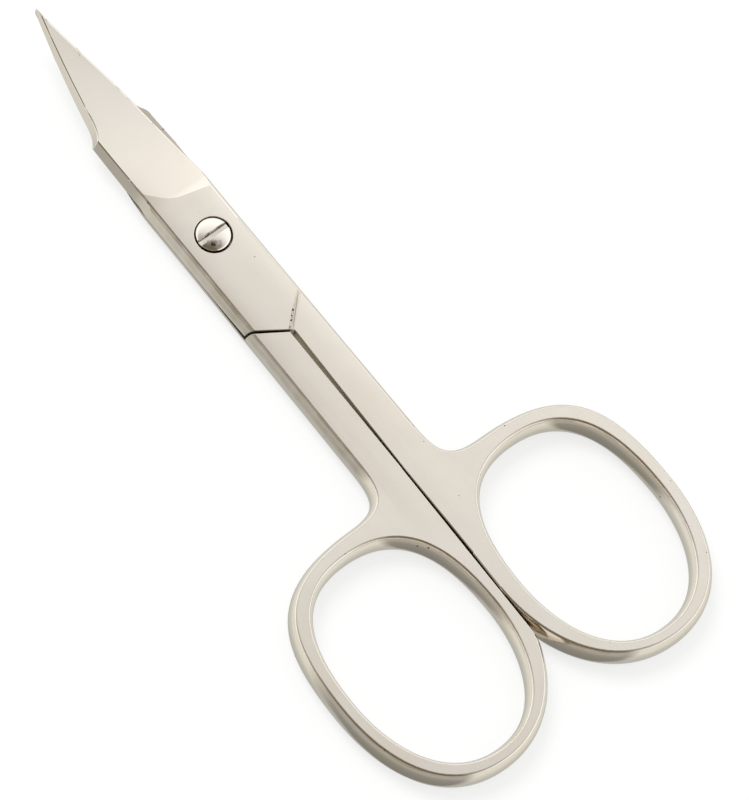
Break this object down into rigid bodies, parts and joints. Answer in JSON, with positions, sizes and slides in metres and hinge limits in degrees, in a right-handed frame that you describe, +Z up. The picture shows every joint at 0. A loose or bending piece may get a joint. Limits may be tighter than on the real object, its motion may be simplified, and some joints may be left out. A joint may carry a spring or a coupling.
{
  "type": "manicure scissors",
  "caption": "Curved-blade manicure scissors: forged halves with finger loops, crossing at a slotted pivot screw.",
  "frame": {"origin": "pivot axis at the back of the lap, where the tail of the screw lies flush", "axes": "+Y towards the tips, +X towards the finger loop of the front half, +Z up out of the lap towards the screw's head"},
  "size_m": [0.0424, 0.0886, 0.0058],
  "materials": {
    "front_half": "satin-polished nickel plate on forged steel",
    "rear_half": "satin-polished nickel plate on forged steel",
    "screw": "turned and nickel plated"
  },
  "bodies": {
    "rear_half": {"rear_blade_half": "rear_half", "pivot_screw": "screw"},
    "front_half": {"front_blade_half": "front_half"}
  },
  "joints": [
    {"name": "pivot", "type": "hinge", "parent": "rear_half", "child": "front_half", "pos_m": [0, 0, 0], "axis": [0, 0, 1], "range_deg": [0, 60]}
  ]
}
